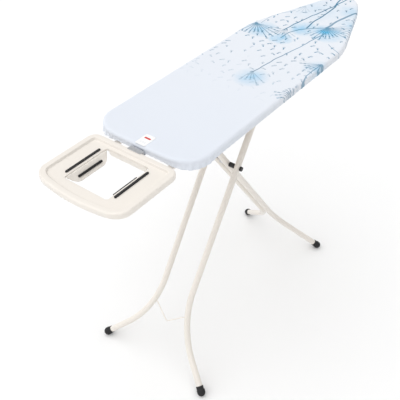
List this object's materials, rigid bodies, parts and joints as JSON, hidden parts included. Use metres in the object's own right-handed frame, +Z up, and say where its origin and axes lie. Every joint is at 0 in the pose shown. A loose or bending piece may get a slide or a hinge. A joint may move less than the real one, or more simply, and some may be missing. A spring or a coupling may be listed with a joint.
{
  "type": "ironing board",
  "caption": "Folding ironing board: padded fabric top with a tapered nose, crossed flared tube legs, an under-board height release and a fixed open-framed iron rest.",
  "frame": {"origin": "middle of the object's box seen from above, on the floor", "axes": "+X along the board towards its tapered nose, +Z up, board open at its working height"},
  "size_m": [1.5, 0.4726, 0.9608],
  "materials": {
    "cover": "matt woven cotton",
    "pad": "matt felt and foam",
    "cord": "matt braid",
    "label": "matt woven tape",
    "coated_steel": "satin powder coat",
    "tray": "satin powder coat",
    "plain_steel": "zinc plated",
    "black_rubber": "matt",
    "black_plastic": "matt"
  },
  "bodies": {
    "board": {"cotton_cover": "cover", "foam_underlay": "pad", "mesh_top": "coated_steel", "edge_rim": "coated_steel", "cover_drawcord": "cord", "care_label": "label", "cross_member_wide": "coated_steel", "cross_member_middle": "coated_steel", "cross_member_nose": "coated_steel", "slide_rail_left": "coated_steel", "slide_rail_right": "coated_steel", "hinge_axle": "plain_steel", "hinge_spacer_left": "black_plastic", "hinge_spacer_right": "black_plastic", "axle_clip_left": "plain_steel", "axle_clip_right": "plain_steel", "lever_bearing_outer": "coated_steel", "lever_bearing_inner": "coated_steel", "lever_spring": "plain_steel", "height_rack": "plain_steel", "iron_rest_tray": "tray", "grip_strip_left": "black_rubber", "grip_strip_right": "black_rubber", "slope_strip_left": "black_rubber", "slope_strip_right": "black_rubber", "rest_arm_left": "coated_steel", "rest_arm_right": "coated_steel", "arm_screw_member_left": "plain_steel", "arm_screw_member_right": "plain_steel", "arm_screw_rest_left": "plain_steel", "arm_screw_rest_right": "plain_steel", "rest_tongue": "plain_steel"},
    "inner_legs": {"leg_tube_inner_left": "coated_steel", "leg_tube_inner_right": "coated_steel", "foot_cap_inner_left": "black_rubber", "foot_cap_inner_right": "black_rubber", "tube_brace_upper": "coated_steel", "tube_brace_lower": "coated_steel", "tube_spacer_block": "black_plastic", "hinge_sleeve": "plain_steel", "scissor_axle": "plain_steel", "axle_sleeve": "plain_steel", "pivot_bush_left": "black_plastic", "pivot_bush_right": "black_plastic"},
    "outer_legs": {"leg_tube_outer_left": "coated_steel", "leg_tube_outer_right": "coated_steel", "foot_cap_outer_left": "black_rubber", "foot_cap_outer_right": "black_rubber", "height_crossbar": "coated_steel", "rail_roller_left": "black_plastic", "rail_roller_right": "black_plastic", "pivot_cap_left": "black_plastic", "pivot_cap_right": "black_plastic"},
    "lever": {"lever_shaft": "plain_steel", "release_lever": "coated_steel", "lever_grip": "black_plastic", "height_pawl": "plain_steel"},
    "transport_wire": {"transport_wire": "coated_steel"}
  },
  "joints": [
    {"name": "fold", "type": "hinge", "parent": "board", "child": "inner_legs", "pos_m": [-0.26054, 0, 0.9022], "axis": [0, -1, 0], "range_deg": [0, 50.8]},
    {"name": "scissor", "type": "hinge", "parent": "inner_legs", "child": "outer_legs", "pos_m": [-0.092, 0, 0.66808], "axis": [0, 1, 0], "range_deg": [0, 105]},
    {"name": "lever_squeeze", "type": "hinge", "parent": "board", "child": "lever", "pos_m": [0.01613, 0, 0.9272], "axis": [0, -1, 0], "range_deg": [0, 10], "stiffness_Nm_per_rad": 0.8, "springref_deg": -17.19},
    {"name": "wire_swing", "type": "hinge", "parent": "outer_legs", "child": "transport_wire", "pos_m": [-0.3971, 0, 0.191], "axis": [0, 1, 0], "range_deg": [-15, 85]}
  ],
  "couplings": [
    {"joint": "scissor", "follows": "fold", "ratio": 2.065}
  ]
}
